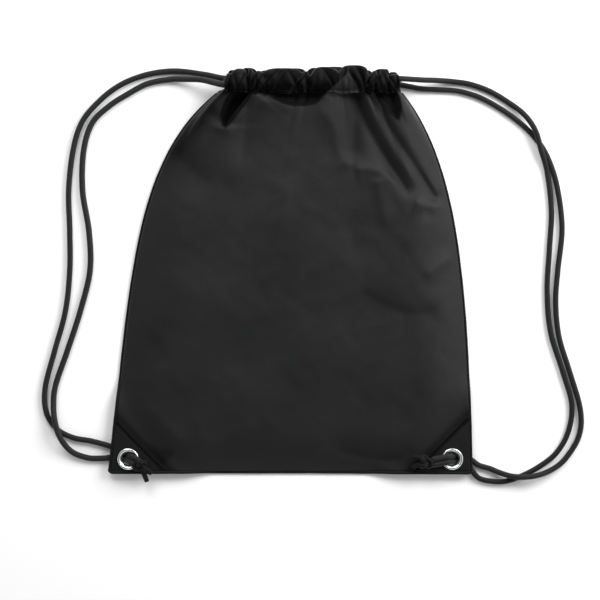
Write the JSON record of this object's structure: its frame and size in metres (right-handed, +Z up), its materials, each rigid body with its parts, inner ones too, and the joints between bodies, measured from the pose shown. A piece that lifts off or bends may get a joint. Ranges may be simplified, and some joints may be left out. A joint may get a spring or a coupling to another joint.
{
  "type": "drawstring backpack",
  "caption": "Flat fabric sack with a gathered drawstring mouth, reinforced eyelet corners and cord shoulder straps, lying on its back.",
  "frame": {"origin": "on the surface that the bag lies on, under the middle of the bag without its cords", "axes": "+Y from the bottom seam to the gathered mouth, +X to the right across the bag, +Z up out of the surface, through the back panel and then the front panel"},
  "size_m": [0.5086, 0.3909, 0.0253],
  "materials": {
    "nylon": "fine plain-weave nylon with a soft sheen",
    "nylon_patch": "doubled plain-weave nylon",
    "seam": "rolled and top-stitched nylon",
    "thread": "twisted polyester thread",
    "cord": "round braided polyester",
    "nickel": "bright nickel plate on brass"
  },
  "bodies": {
    "bag": {"back_panel": "nylon", "front_panel": "nylon", "back_channel": "nylon", "front_channel": "nylon", "left_side_seam": "seam", "right_side_seam": "seam", "bottom_seam": "seam", "left_patch_back": "nylon_patch", "left_patch_front": "nylon_patch", "right_patch_back": "nylon_patch", "right_patch_front": "nylon_patch", "left_eyelet": "nickel", "right_eyelet": "nickel", "left_eyelet_washer": "nickel", "right_eyelet_washer": "nickel", "left_channel_bartacks": "thread", "right_channel_bartacks": "thread", "front_channel_stitching": "thread", "back_channel_stitching": "thread", "left_patch_stitching": "thread", "right_patch_stitching": "thread", "left_cord_in_channel": "cord", "right_cord_in_channel": "cord", "left_cord_end": "cord", "right_cord_end": "cord", "left_knot": "cord", "right_knot": "cord"},
    "left_strap": {"left_strap_outer_strand": "cord", "left_strap_inner_strand": "cord"},
    "right_strap": {"right_strap_outer_strand": "cord", "right_strap_inner_strand": "cord"}
  },
  "joints": [
    {"name": "left_strap_swing", "type": "hinge", "parent": "bag", "child": "left_strap", "pos_m": [-0.178, -0.168, 0.003], "axis": [0.2878, 0.9574, 0.0249], "range_deg": [0, 120]},
    {"name": "right_strap_swing", "type": "hinge", "parent": "bag", "child": "right_strap", "pos_m": [0.178, -0.187, 0.003], "axis": [0.1736, -0.9845, -0.0244], "range_deg": [0, 120]}
  ]
}
